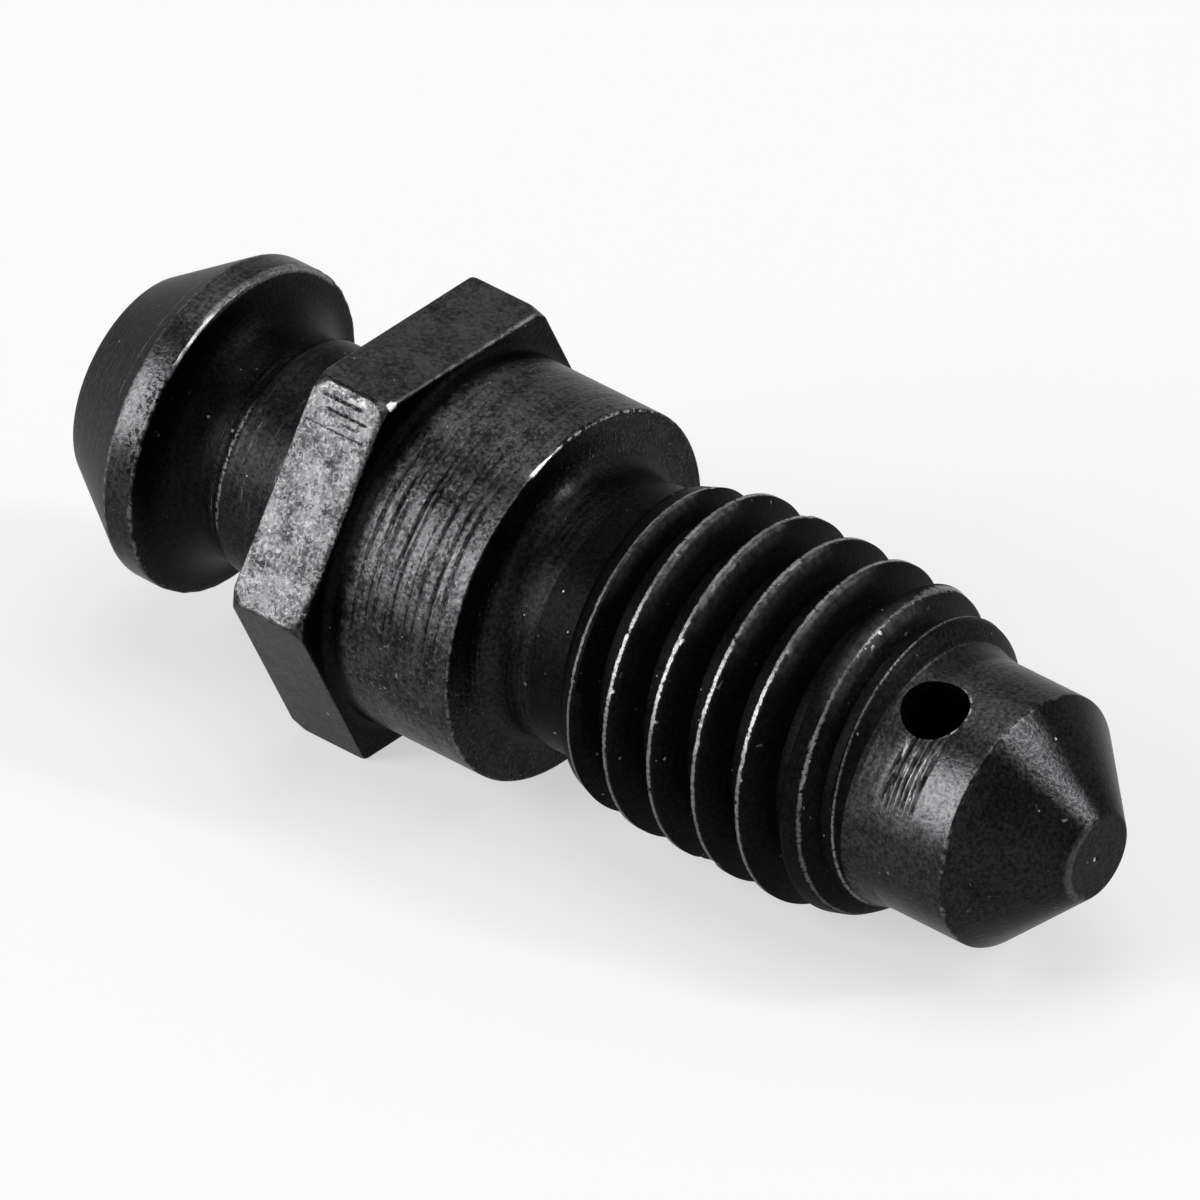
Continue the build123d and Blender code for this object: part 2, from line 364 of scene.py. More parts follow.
def wobble(angles, waves, generator):
    """Smooth random values from about -1 to 1 round a closed circle, with up to so many waves."""
    counts = np.arange(1, waves + 1)
    phases = generator.uniform(0, 2 * math.pi, waves)
    strengths = generator.uniform(0.3, 1, waves)
    total = (strengths * np.sin(np.multiply.outer(angles, counts) + phases)).sum(axis=-1)
    return total / math.sqrt((strengths ** 2).sum() * 1.5)


def window(values, start, end, soft):
    """1 between start and end, falling to 0 over soft outside them."""
    return np.clip((values - start) / soft + 1, 0, 1) * np.clip((end - values) / soft + 1, 0, 1)


def tool_marks(z, radius, angles):
    """Radius with the grooves that the turning tool left."""
    degrees = (np.degrees(angles) + 180) % 360 - 180
    marked = radius.copy()
    for places, start, end, deepest in GROOVES:
        for place in places:
            # The depth varies round the screw, and a trace of each groove runs all the way round
            shift = sum(size * np.sin(count * angles + phase * place) for size, count, phase in GROOVE_WAVES)
            depth = deepest * rng.uniform(0.5, 1) * np.clip(0.8 + 0.5 * wobble(angles, 14, rng), 0.1, 1)
            depth = depth * window(degrees, start, end, GROOVE_FADE) + rng.uniform(0, 0.006)
            marked -= depth * np.exp(-((z - place - shift) / GROOVE_WIDTH) ** 2)
    beside_hexagon = np.abs(z - HEX_FRONT_Z) < COLLAR_ROOT
    return np.where(beside_hexagon, radius, marked)


def edge_damage(z, radius, angles):
    """Radius with the nick in the collar's end edge and the uneven rolled rim of the nipple."""
    degrees = (np.degrees(angles) + 180) % 360 - 180
    wedge = np.clip((degrees - NICK_START) / (NICK_END - NICK_START), 0, 1) * (degrees < NICK_END)
    near_edge = np.clip(1 + z / NICK_LENGTH, 0, 1) * (z <= 0) * (radius > COLLAR_RADIUS - 2 * COLLAR_ROUND)
    radius = radius - NICK_DEPTH * wedge * near_edge
    on_rim = (np.abs(z - RIM_Z) < 0.07) & (radius > RIM_RADIUS - 0.1)
    return radius - RIM_DAMAGE * np.clip(0.4 + wobble(angles, RIM_WAVES, rng), 0, 1.4) * on_rim


# ------------------------ thread

def thread_limit(z):
    """Largest radius that the turned ends of the thread leave, at height z."""
    entry = ROOT_RADIUS + (z - THREAD_START_Z) * ENTRY_SLOPE
    lead = MAJOR_RADIUS - (z - LEAD_START_Z) * LEAD_SLOPE
    end = LEAD_BREAK_RADIUS - (z - LEAD_BREAK_Z) * END_SLOPE
    limit = smooth_min(entry, np.full_like(z, MAJOR_RADIUS), CREST_SOFT)
    limit = smooth_min(limit, lead, CREST_SOFT)
    return smooth_min(limit, end, 0.04)


def crest_wear(turns):
    """How far the crest stands below its full height along the helix: slightly uneven, with nicks."""
    along = turns * 2 * math.pi * MAJOR_RADIUS
    low = 0.010 * (1 + np.sin(along * 1.1) * np.sin(along * 0.37 + 2))
    for place in rng.uniform(along[0], along[-1], CREST_NICKS):
        low += rng.uniform(0.01, 0.05) * np.exp(-((along - place) / rng.uniform(0.06, 0.16)) ** 2)
    return low


def ridge_section():
    """Points of the full ridge across the helix: their heights beside its middle, and their radii."""
    flank = math.tan(FLANK_ANGLE)
    half_crest = CREST_WIDTH / 2
    half_foot = half_crest + (MAJOR_RADIUS - ROOT_RADIUS + RIDGE_SUNK) * flank
    low_side = np.linspace(half_foot, half_crest + 0.12, 4)
    side = np.concatenate([low_side, [half_crest + 0.06, half_crest + 0.02]])
    top = np.linspace(-half_crest, half_crest, 5)
    heights = np.concatenate([-side, top, side[::-1]])
    return heights, MAJOR_RADIUS - np.clip(np.abs(heights) - half_crest, 0, None) / flank


def strip_faces(sections, width):
    """Quads of a closed strip of sections, and the two faces that cap its ends."""
    faces = []
    for section in range(sections - 1):
        for point in range(width):
            a, b = section * width + point, section * width + (point + 1) % width
            faces.append((a, a + width, b + width, b))
    last = (sections - 1) * width
    return faces + [tuple(range(width)), tuple(range(last, last + width))[::-1]]


def ridge_mesh():
    """The thread's ridge, a closed strip along the helix that begins and ends inside the body."""
    heights, full_radius = ridge_section()
    first, last = -1.4, (SHANK_Z - CREST_Z) / PITCH + 0.6
    turns = np.linspace(first, last, int((last - first) * RIDGE_STEPS) + 1)
    z = CREST_Z + turns[:, None] * PITCH + heights
    drop = ENTRY_DROP * np.clip((ENTRY_TURNS[1] - turns) / (ENTRY_TURNS[1] - ENTRY_TURNS[0]), 0, 1)
    worn = thread_limit(z) - (crest_wear(turns) + drop)[:, None]
    radius = np.maximum(smooth_min(full_radius, worn, CREST_SOFT), RIDGE_BASE + 0.02)
    # Two points at the base close each section
    z = np.hstack([z, z[:, -1:], z[:, :1]])
    radius = np.hstack([radius, np.full((len(turns), 2), RIDGE_BASE)])
    angle = 2 * math.pi * turns[:, None]
    points = np.stack([radius * np.cos(angle), radius * np.sin(angle), z], axis=-1)
    return points.reshape(-1, 3), strip_faces(*z.shape)


# ------------------------ joining

def mesh_object(name, points, faces):
    """A mesh object from points in millimetres in the screw's frame, its faces turned outwards."""
    mesh = bpy.data.meshes.new(name)
    mesh.from_pydata((np.asarray(points) * MM).tolist(), [], faces)
    work = bmesh.new()
    work.from_mesh(mesh)
    bmesh.ops.recalc_face_normals(work, faces=work.faces)
    work.to_mesh(mesh)
    work.free()
    piece = bpy.data.objects.new(name, mesh)
    bpy.context.scene.collection.objects.link(piece)
    return piece


def port_cutter():
    """The drill that made the cross hole."""
    turn = np.linspace(0, 2 * math.pi, PORT_SIDES, endpoint=False)
    ring = np.stack([np.zeros(PORT_SIDES), PORT_RADIUS * np.cos(turn), PORT_RADIUS * np.sin(turn)], axis=-1)
    points = np.vstack([ring, ring + (SHANK_RADIUS + 1, 0, 0)])
    sides = []
    for k in range(PORT_SIDES):
        beside = (k + 1) % PORT_SIDES
        sides.append((k, beside, beside + PORT_SIDES, k + PORT_SIDES))
    ends = [tuple(range(PORT_SIDES)), tuple(range(PORT_SIDES, 2 * PORT_SIDES))]
    rotation = np.array(Matrix.Rotation(math.radians(PORT_ANGLE), 3, "Z"))
    return mesh_object("port_cutter", points @ rotation.T + (0, 0, PORT_Z), sides + ends)


def combined(target, other, operation):
    """Target with the other mesh joined to it or cut from it, and the other one removed."""
    modifier = target.modifiers.new(operation, "BOOLEAN")
    modifier.operation = operation
    modifier.solver = "EXACT"
    modifier.object = other
    bpy.context.view_layer.update()
    evaluated = target.evaluated_get(bpy.context.evaluated_depsgraph_get())
    result = bpy.data.meshes.new_from_object(evaluated)
    target.modifiers.clear()
    target.data = result
    bpy.data.objects.remove(other)


def screw_piece():
    """The whole visible screw as one closed mesh."""
    screw = mesh_object("screw", *turned_mesh())
    combined(screw, mesh_object("ridge", *ridge_mesh()), "UNION")
    combined(screw, port_cutter(), "DIFFERENCE")
    screw.data.shade_smooth()
    screw.data.set_sharp_from_angle(angle=SHARP_ANGLE)
    return screw


# ------------------------ materials

class Field:
    """A number that varies over the surface: one socket of a shader tree, with arithmetic."""

    def __init__(self, tree, socket):
        self.tree, self.socket = tree, socket

    def math(self, operation, *others):
        """The result of a math node on this field and the others."""
        node = self.tree.nodes.new("ShaderNodeMath")
        node.operation = operation
        for slot, value in zip(node.inputs, (self,) + others):
            if isinstance(value, Field):
                self.tree.links.new(value.socket, slot)
            else:
                slot.default_value = value
        return Field(self.tree, node.outputs[0])

    def __add__(self, other):
        return self.math("ADD", other)

    def __sub__(self, other):
        return self.math("SUBTRACT", other)

    def __mul__(self, other):
        return self.math("MULTIPLY", other)

    def __truediv__(self, other):
        return self.math("DIVIDE", other)

    def __neg__(self):
        return self * -1

    def __rsub__(self, other):
        return -self + other

    __radd__, __rmul__ = __add__, __mul__

    def __abs__(self):
        return self.math("ABSOLUTE")

    def min(self, other):
        return self.math("MINIMUM", other)

    def max(self, other):
        return self.math("MAXIMUM", other)

    def rise(self, low, high):
        """0 at low and beyond, 1 at high and beyond, and a smooth step between; low may be the larger."""
        node = self.tree.nodes.new("ShaderNodeMapRange")
        node.interpolation_type = "SMOOTHSTEP"
        self.tree.links.new(self.socket, node.inputs["Value"])
        rising = low < high
        node.inputs["From Min"].default_value = min(low, high)
        node.inputs["From Max"].default_value = max(low, high)
        node.inputs["To Min"].default_value = 0 if rising else 1
        node.inputs["To Max"].default_value = 1 if rising else 0
        return Field(self.tree, node.outputs["Result"])

    def band(self, low, high, soft):
        """1 between low and high, falling to 0 over soft on both sides."""
        return self.rise(low - soft, low) * self.rise(high + soft, high)

    def near(self, value, width):
        """1 at value, falling to 0 at width from it."""
        return abs(self - value).rise(width, 0)


def strongest(*fields):
    """The largest of several fields."""
    total = fields[0]
    for field in fields[1:]:
        total = total.max(field)
    return total


def noise_field(x, y, z, detail, roughness):
    """Noise from 0 to 1 at a point given by three fields."""
    tree = x.tree
    point = tree.nodes.new("ShaderNodeCombineXYZ")
    for slot, value in zip(point.inputs, (x, y, z)):
        tree.links.new(value.socket, slot)
    node = tree.nodes.new("ShaderNodeTexNoise")
    node.inputs["Scale"].default_value = 1
    node.inputs["Detail"].default_value = detail
    node.inputs["Roughness"].default_value = roughness
    tree.links.new(point.outputs[0], node.inputs["Vector"])
    return Field(tree, node.outputs["Fac"])


def mixed(tree, share, below, above):
    """Colour between two colours, each a constant or another mix's output."""
    node = tree.nodes.new("ShaderNodeMix")
    node.data_type = "RGBA"
    tree.links.new(share.socket, node.inputs["Factor"])
    for name, colour in (("A", below), ("B", above)):
        slot = [i for i in node.inputs if i.name == name and i.type == "RGBA"][0]
        if isinstance(colour, tuple):
            slot.default_value = colour + (1,)
        else:
            tree.links.new(colour, slot)
    return [o for o in node.outputs if o.type == "RGBA"][0]


def screw_coordinates(tree, matrix):
    """The surface point's x, y and z in the screw's frame, in millimetres."""
    source = tree.nodes.new("ShaderNodeTexCoord")
    inverse = matrix.inverted()
    mapping = tree.nodes.new("ShaderNodeMapping")
    mapping.inputs["Scale"].default_value = (1 / MM,) * 3
    mapping.inputs["Rotation"].default_value = inverse.to_euler()
    mapping.inputs["Location"].default_value = inverse.translation / MM
    split = tree.nodes.new("ShaderNodeSeparateXYZ")
    tree.links.new(source.outputs["Object"], mapping.inputs["Vector"])
    tree.links.new(mapping.outputs["Vector"], split.inputs["Vector"])
    return [Field(tree, split.outputs[axis]) for axis in "XYZ"]


class Surface:
    """Where a point of the screw's surface lies, in millimetres and degrees, and the noises there."""

    def __init__(self, tree, matrix):
        self.x, self.y, self.z = screw_coordinates(tree, matrix)
        self.radius = (self.x * self.x + self.y * self.y).math("SQRT")
        self.angle = self.y.math("ARCTAN2", self.x)
        self.degrees = self.angle * (180 / math.pi)
        self.fine = self.grain(12, 3, 2, 0.55)
        self.coarse = self.grain(7, 9, 3, 0.65)
        self.blotch = self.grain(1.6, 17, 2)
        self.lines = self.streaks(9, 2.2, 5, 3, 0.65)
        self.ragged = self.grain(5, 41, 3, 0.6)
        self.patchy = self.grain(1.8, 47, 1)
        self.speck = self.grain(8, 53, 0)

    def grain(self, per_mm, seed, detail, roughness=0.5):
        """Noise that is alike in all directions; its seed shifts it."""
        return noise_field(self.x * per_mm + seed, self.y * per_mm, self.z * per_mm, detail, roughness)

    def streaks(self, per_mm, per_radian, seed, detail, roughness=0.5):
        """Noise drawn out round the axis."""
        across, along, around = self.radius * per_mm + seed, self.z * per_mm, self.angle * per_radian
        return noise_field(across, along, around, detail, roughness)

    def ring(self, radius, z):
        """Distance from a circle round the axis."""
        across, along = self.radius - radius, self.z - z
        return (across * across + along * along).math("SQRT")

    def spot(self, degrees, radius, z):
        """Distance from a point."""
        turn = math.radians(degrees)
        x, y, z = self.x - radius * math.cos(turn), self.y - radius * math.sin(turn), self.z - z
        return (x * x + y * y + z * z).math("SQRT")


class Hexagon:
    """Where a point lies on the hexagon."""

    def __init__(self, surface):
        half = HEX_ACROSS_FLATS / 2
        folded = (surface.angle + math.pi / 6).math("FLOORED_MODULO", math.pi / 3) - math.pi / 6
        across = surface.radius * folded.math("SINE")
        height = surface.radius * folded.math("COSINE") - half
        self.from_corner = half * math.tan(math.pi / 6) - abs(across)
        self.on_side = height.near(0, 0.12) * surface.z.band(HEX_BACK_Z, HEX_FRONT_Z, 0.01)
        self.on_top = self.on_side * surface.degrees.band(-30, 30, 0.3)
        self.on_front = self.on_side * surface.degrees.band(30, 90, 0.3)
        self.on_low = self.on_side * surface.degrees.band(90, 150, 0.3)


class Thread:
    """Where a point lies on the thread."""

    def __init__(self, surface):
        helix = (surface.z - CREST_Z) / PITCH - surface.angle / (2 * math.pi) + 0.5
        self.offset = (helix - helix.math("FLOOR") - 0.5) * PITCH
        entry = (surface.z - THREAD_START_Z) * ENTRY_SLOPE
        lead = (surface.z - LEAD_START_Z) * LEAD_SLOPE
        self.unfinished = (MAJOR_RADIUS - ROOT_RADIUS - entry).max(0)
        lowered = self.unfinished.max(lead)
        half_crest = lowered * math.tan(FLANK_ANGLE) + CREST_WIDTH / 2
        self.inside = surface.z.band(THREAD_START_Z + 0.05, LEAD_FOOT_Z - 0.05, 0.05)
        self.tip_edge = self.offset - half_crest
        self.collar_edge = self.offset + half_crest


def port_distance(surface):
    """Distance from the cross hole's axis."""
    turn = math.radians(PORT_ANGLE)
    across = surface.y * math.cos(turn) - surface.x * math.sin(turn)
    along = surface.z - PORT_Z
    return (across * across + along * along).math("SQRT")


# ------------------------ where shade is painted into the colour, 0 to 1

def nipple_painted_shade(surface):
    """Painted shade on the nose cone, the dished back and the neck."""
    cone = surface.z.band(NOSE_Z, LAND_Z, 0.02) * 0.57
    dish = surface.z.band(RIM_Z + 0.06, DISH_END_Z, 0.25) * 0.93
    neck = surface.z.band(DISH_END_Z, HEX_BACK_Z, 0.04) * 0.76
    return strongest(cone, dish, neck)


def hexagon_painted_shade(surface, hexagon):
    """Painted shade on the low flat, and along a ragged edge of the front flat beside the collar."""
    front_edge = (surface.z + (surface.ragged - 0.5) * 0.12).rise(HEX_FRONT_Z - 0.20, HEX_FRONT_Z - 0.06)
    return strongest(hexagon.on_low * 0.36, front_edge * hexagon.on_front * 0.8)


def collar_painted_shade(surface):
    """Painted shade on the collar's root with a ragged end, on the collar and on its end face, and dark
    breaks in its end edge.
    """
    z, ragged = surface.z, surface.ragged
    root_end = (z + (ragged - 0.5) * 0.5).rise(HEX_FRONT_Z + 0.80, HEX_FRONT_Z + 0.35)
    root = z.band(HEX_FRONT_Z - 0.01, HEX_FRONT_Z + 1, 0.01) * root_end * 0.96
    collar = z.band(HEX_FRONT_Z + 0.4, 0, 0.01) * 0.15
    end_face = z.band(-0.01, THREAD_START_Z + 0.2, 0.01) * 0.80
    edge = surface.ring(COLLAR_RADIUS - 0.03, -0.03).rise(0.10, 0.06)
    breaks = edge * ragged.rise(0.58, 0.44) * surface.degrees.band(-60, 12, 3) * 0.85
    return strongest(root, collar, end_face, breaks)


def thread_painted_shade(surface, thread):
    """Painted shade on the undercut's end, on the thread, a little lighter at both ends on its far side, and
    on the step.
    """
    z, degrees = surface.z, surface.degrees
    entry_side = degrees.band(-70, -15, 30) * z.rise(2.3, 1.6) * 0.09
    lead_side = degrees.band(-70, 30, 25) * z.rise(LEAD_START_Z + 0.3, LEAD_START_Z + 0.7) * 0.12
    undercut = z.band(THREAD_START_Z + 0.02, 2.2, 0.6) * (0.89 - entry_side)
    turns = thread.inside * (0.93 - entry_side - lead_side)
    return strongest(undercut, turns, z.band(LEAD_FOOT_Z, SHANK_Z, 0.15) * 0.45)


def tip_painted_shade(surface):
    """Painted shade on the cone seat, lifted by a painted highlight streak down it, and inside the cross
    hole.
    """
    # Painted highlight: a lighter streak down the cone, where the back lamp's reflection lies
    highlight_streak = surface.degrees.band(8, 20, 12) * surface.radius.rise(0.9, 1.1)
    cone = surface.z.band(CONE_Z, TIP_Z + 1, 0.02) * (0.78 - highlight_streak * (0.25 + surface.ragged * 0.7))
    in_port = port_distance(surface).rise(PORT_RADIUS + 0.02, PORT_RADIUS - 0.03)
    return cone.max(in_port * surface.radius.rise(SHANK_RADIUS - 0.02, SHANK_RADIUS - 0.1))


def painted_shade_bands(surface, hexagon):
    """Two stretches along all round surfaces with painted shade, at 86 to 108 and at 29 to 32 degrees."""
    low = surface.degrees.band(86, 108, 18) * 0.60
    high = surface.degrees.band(29, 32, 6) * surface.z.rise(LAND_Z, LAND_Z + 0.1) * 0.45
    return low.max(high) * (1 - hexagon.on_side)


def painted_shade(surface, hexagon, thread):
    """Everywhere that shade is painted into the colour, darker than on the flats."""
    return strongest(
        nipple_painted_shade(surface),
        hexagon_painted_shade(surface, hexagon),
        collar_painted_shade(surface),
        thread_painted_shade(surface, thread),
        tip_painted_shade(surface),
        painted_shade_bands(surface, hexagon),
    )


# ------------------------ dark marks, 0 to 1

def groove_shade(surface):
    """Dark bottoms of the turning grooves."""
    shades = []
    for places, start, end, _ in GROOVES:
        sector = surface.degrees.band(start, end, GROOVE_FADE)
        for place in places:
            straight = surface.z
            for size, count, phase in GROOVE_WAVES:
                straight = straight - (surface.angle * count + phase * place).math("SINE") * size
            shades.append(straight.near(place, GROOVE_WIDTH) * sector)
    return strongest(*shades) * surface.ragged.rise(0.34, 0.52) * 0.9


def strokes(surface, hexagon):
    """Scored lines along the axis and fine squiggles on the front flat, and a jagged line at its corner."""
    lines = []
    for from_corner, start, end, width, strength in (
        (0.32, -5.05, -4.08, 0.055, 1.0),
        (0.59, -4.86, -3.84, 0.050, 1.0),
        (0.79, -4.40, -4.08, 0.045, 0.7),
        (1.00, -5.30, -3.80, 0.028, 0.5),
    ):
        line = (hexagon.from_corner + surface.ragged * 0.09 - 0.045).near(from_corner, width)
        lines.append(line * surface.z.band(start, end, 0.12) * surface.ragged.rise(0.30, 0.45) * strength)
    scored = strongest(*lines) * surface.degrees.band(30, 60, 0.5)
    squiggles = abs(surface.grain(4.5, 91, 2) - 0.5).rise(0.030, 0.010)
    squiggles = squiggles * surface.grain(3.2, 97, 1).rise(0.56, 0.64) * 0.45
    jagged = (surface.degrees + (surface.ragged - 0.5) * 2.5).near(29.3, 0.55)
    return (scored.max(squiggles) * hexagon.on_front).max(jagged * surface.z.band(-5.2, -3.9, 0.1))


def land_pits(surface):
    """Pits on the nipple's land, beside its rim."""
    beside_rim = surface.z.band(RIM_Z - 0.35, RIM_Z + 0.02, 0.10)
    return beside_rim * surface.coarse.rise(0.51, 0.58) * 0.9 * surface.degrees.band(40, 82, 6)


# ------------------------ bare metal and painted highlights, 0 to 1

def nipple_wear_and_highlights(surface):
    """The land's edges, the rim's most of all with a painted highlight on its lit side, a scratch on the
    cone, the neck's line brightened as a painted highlight where lit, and streaks.
    """
    z, degrees = surface.z, surface.degrees
    fine, ragged, patchy = surface.fine, surface.ragged, surface.patchy
    broken = ragged.rise(0.46, 0.60)
    rim = surface.ring(RIM_RADIUS, RIM_Z - 0.02)
    # Painted highlight: a bright crescent on the rim where the lamp's reflection lies
    rim_highlight = (ragged * 0.09 + 0.025 - rim).rise(0, 0.02) * degrees.band(21, 38, 4)
    rim_highlight = rim_highlight * (patchy.rise(0.3, 0.5) * 0.4 + 0.25)
    worn_rim = rim.rise(0.17, 0.08) * degrees.band(-45, 20, 8) * (fine.rise(0.3, 0.7) * 0.16 + ragged * 0.20)
    whole_rim = rim.rise(0.10, 0.05) * broken * 0.08
    land_edge = surface.ring(LAND_RADIUS, LAND_Z).rise(0.06, 0.02) * (broken * 0.10 + 0.04)
    scratch = (z + degrees * 0.001 + (ragged - 0.5) * 0.05).near(LAND_Z - 0.27, 0.03)
    scratch = scratch * degrees.band(-40, 50, 15) * (broken * 0.12 + 0.03)
    # The neck's line shows only on its lit side, as a painted highlight
    neck_line = (z + (patchy - 0.5) * 0.1).near(NECK_LINE_Z, 0.085) * surface.radius.rise(3.0, 2.9)
    neck_line = neck_line * fine.rise(0.40, 0.55) * degrees.band(45, 95, 12) * 0.32
    neck_streaks = z.band(DISH_END_Z - 0.1, HEX_BACK_Z, 0.05) * surface.lines.rise(0.58, 0.75)
    neck_streaks = neck_streaks * ragged.rise(0.4, 0.7) * 0.10
    return strongest(rim_highlight, worn_rim, whole_rim, land_edge, scratch, neck_line, neck_streaks)


def hexagon_wear_and_highlights(surface, hexagon):
    """The hexagon's edges and corners, a painted highlight at one corner, and flecks and worm-like lines on
    the front flat.
    """
    z, degrees = surface.z, surface.degrees
    fine, ragged, patchy = surface.fine, surface.ragged, surface.patchy
    broken = ragged.rise(0.42, 0.58)
    front_edge = (z + (ragged - 0.5) * 0.06).near(HEX_FRONT_Z - 0.02, 0.07) * hexagon.on_top
    front_edge = front_edge * (broken * 0.7 + 0.3) * (patchy * 0.5 + degrees.rise(25, -30) * 0.15)
    back_edge = z.near(HEX_BACK_Z, 0.05) * hexagon.on_top * broken * 0.25
    burr = hexagon.from_corner.rise(0.34, 0.08) * z.band(-5.2, -4.0, 0.15) * degrees.band(30.3, 35, 0.3)
    burr = burr * ragged.rise(0.44, 0.62) * 0.28
    low_corner = hexagon.from_corner.rise(0.12, 0.03) * degrees.band(86, 90, 0.5) * hexagon.on_side
    low_corner = low_corner * broken * 0.14
    worms = abs(surface.grain(5.5, 93, 1) - 0.5).rise(0.05, 0.015) * surface.grain(3, 99, 1).rise(0.46, 0.58)
    flecks = hexagon.on_front * (fine.rise(0.58, 0.70) * 0.08).max(worms * 0.07)
    # Painted highlight: a small bright spot at the front corner
    corner_highlight = ragged * 0.20 + 0.06 - surface.spot(28.4, 5.33, HEX_FRONT_Z + 0.03)
    corner_highlight = corner_highlight.rise(0, 0.03) * degrees.rise(30.1, 29.5)
    return strongest(front_edge, back_edge, burr, low_corner, flecks, corner_highlight)


def collar_wear_and_highlights(surface):
    """The collar's end edge with its nick, brighter on its upper side as a painted highlight, flecks on the
    collar, and a painted highlight in the undercut.
    """
    degrees, fine, ragged, patchy = surface.degrees, surface.fine, surface.ragged, surface.patchy
    broken = ragged.rise(0.46, 0.60)
    end_edge = surface.ring(COLLAR_RADIUS, 0).rise(0.075, 0.03)
    # The end edge is brightest on its upper side: a painted highlight over its wear
    end_edge = end_edge * (degrees.band(-30, 14, 8) * broken * (patchy * 0.4 + 0.1) + broken * 0.08)
    nick_width = degrees.rise(NICK_START - 5, NICK_END) * 0.085 - ragged * 0.03
    nick = (nick_width - surface.ring(COLLAR_RADIUS - 0.02, -0.02)).rise(0, 0.02)
    nick = nick * degrees.rise(NICK_END + 1.5, NICK_END - 1)
    flecks = surface.z.band(HEX_FRONT_Z + 0.6, 0, 0.1) * fine.rise(0.58, 0.72) * patchy.rise(0.3, 0.6) * 0.07
    # Painted highlight: a soft light patch in the undercut
    undercut_highlight = surface.spot(14, 3.3, 0.02).rise(0.42, 0.05) * surface.ring(3.28, 0).rise(0.28, 0.06)
    undercut_highlight = undercut_highlight * (fine.rise(0.35, 0.65) * 0.10 + 0.03)
    return strongest(end_edge, nick, flecks, undercut_highlight)


def thread_wear_and_highlights(surface, thread):
    """A broken bright line along the crests, part wear and part painted highlight that changes round the
    screw, with a grey painted sheen beside it, and the last turn's edge.
    """
    degrees, fine, ragged = surface.degrees, surface.fine, surface.ragged
    late = surface.z.rise(LEAD_START_Z + 0.2, LEAD_START_Z + 0.6)
    # The line's brightness follows the light round the screw: a painted highlight on the crests' wear
    strength = 0.30 - degrees.rise(70, 84) * 0.13 - degrees.band(28, 32, 6) * 0.10 - late * 0.08
    strength = strength + degrees.rise(0, -20) * (1 - late) * 0.12
    # The line runs near the crest's middle, and on the turned lead along its edge
    middle = thread.offset + 0.02 - thread.unfinished * 0.45
    from_line = middle * (1 - late) + (thread.tip_edge + 0.01) * late
    line = (ragged * 0.05 + fine * 0.06 + 0.004 - late * 0.02 - abs(from_line)).rise(0, 0.035) * strength
    line = line * (fine.rise(0.35, 0.55) * 0.45 + 0.55) * ragged.rise(0.28, 0.42)
    # Painted sheen beside the line on the upper side
    mottled = from_line.band(0.03, 0.11, 0.07) * degrees.band(-5, 32, 10) * (1 - late * 0.7)
    mottled = mottled * (ragged.rise(0.35, 0.65) * 0.10 + 0.04)
    beads = from_line.near(0.04, 0.12) * surface.grain(3.6, 77, 1).rise(0.66, 0.71)
    beads = beads * degrees.band(-20, 80, 5) * 0.42
    # Painted highlight on the upper part of the tip-side flank
    flank = thread.tip_edge.band(-0.02, 0, 0.22) * degrees.band(0, 34, 18)
    flank = flank * (ragged.rise(0.2, 0.8) * 0.05 + 0.008)
    high = strongest(line, mottled, beads, flank) * surface.radius.rise(3.42, 3.54)
    last = thread.collar_edge.near(0.01, 0.05) * surface.z.rise(LEAD_START_Z + 0.7, LEAD_START_Z + 1)
    last = last * (fine.rise(0.35, 0.55) * 0.16 + 0.03)
    return high.max(last) * surface.z.rise(1.95, 2.2) * thread.inside


def tip_wear_and_highlights(surface):
    """The edges of the cone seat, the tip and the cross hole, the drill mark, and strokes on the shank
    painted bright only in its lit band, as painted highlights.
    """
    z, degrees, ragged = surface.z, surface.degrees, surface.ragged
    cone_edge = surface.ring(SHANK_RADIUS, CONE_Z).rise(0.08, 0.02) * ragged.rise(0.46, 0.60)
    cone_edge = cone_edge * surface.patchy.rise(0.4, 0.6) * 0.10
    tip_edge = surface.ring(TIP_RADIUS, TIP_Z).rise(0.15, 0.03) * degrees.band(30, 150, 20)
    tip_edge = tip_edge * surface.fine * 0.08
    port_rim = port_distance(surface).near(PORT_RADIUS, 0.075) * surface.radius.rise(2.9, 3)
    port_rim = port_rim * ragged.rise(0.48, 0.56) * z.rise(PORT_Z - 0.2, PORT_Z + 0.5) * 0.4
    drill_mark = surface.spot(90, 0.11, TIP_Z).rise(0.07, 0.03) * 0.5
    # Painted highlight: the strokes show only in the band where the key lamp's reflection lies
    chatter = z.band(SHANK_GROOVES[0] - 0.04, SHANK_GROOVES[-1], 0.08) * degrees.band(42, 62, 6)
    chatter = chatter * surface.streaks(6, 8, 31, 1).rise(0.50, 0.60) * 0.13
    return strongest(cone_edge, tip_edge, port_rim, drill_mark, chatter)


def bare_metal_and_highlights(surface, hexagon, thread):
    """All places where metal is laid bare, the painted highlights, and scattered specks."""
    return strongest(
        nipple_wear_and_highlights(surface),
        hexagon_wear_and_highlights(surface, hexagon),
        collar_wear_and_highlights(surface),
        thread_wear_and_highlights(surface, thread),
        tip_wear_and_highlights(surface),
        surface.speck.rise(0.82, 0.86) * surface.patchy.rise(0.45, 0.7) * 0.35,
    )


# ------------------------ the steel

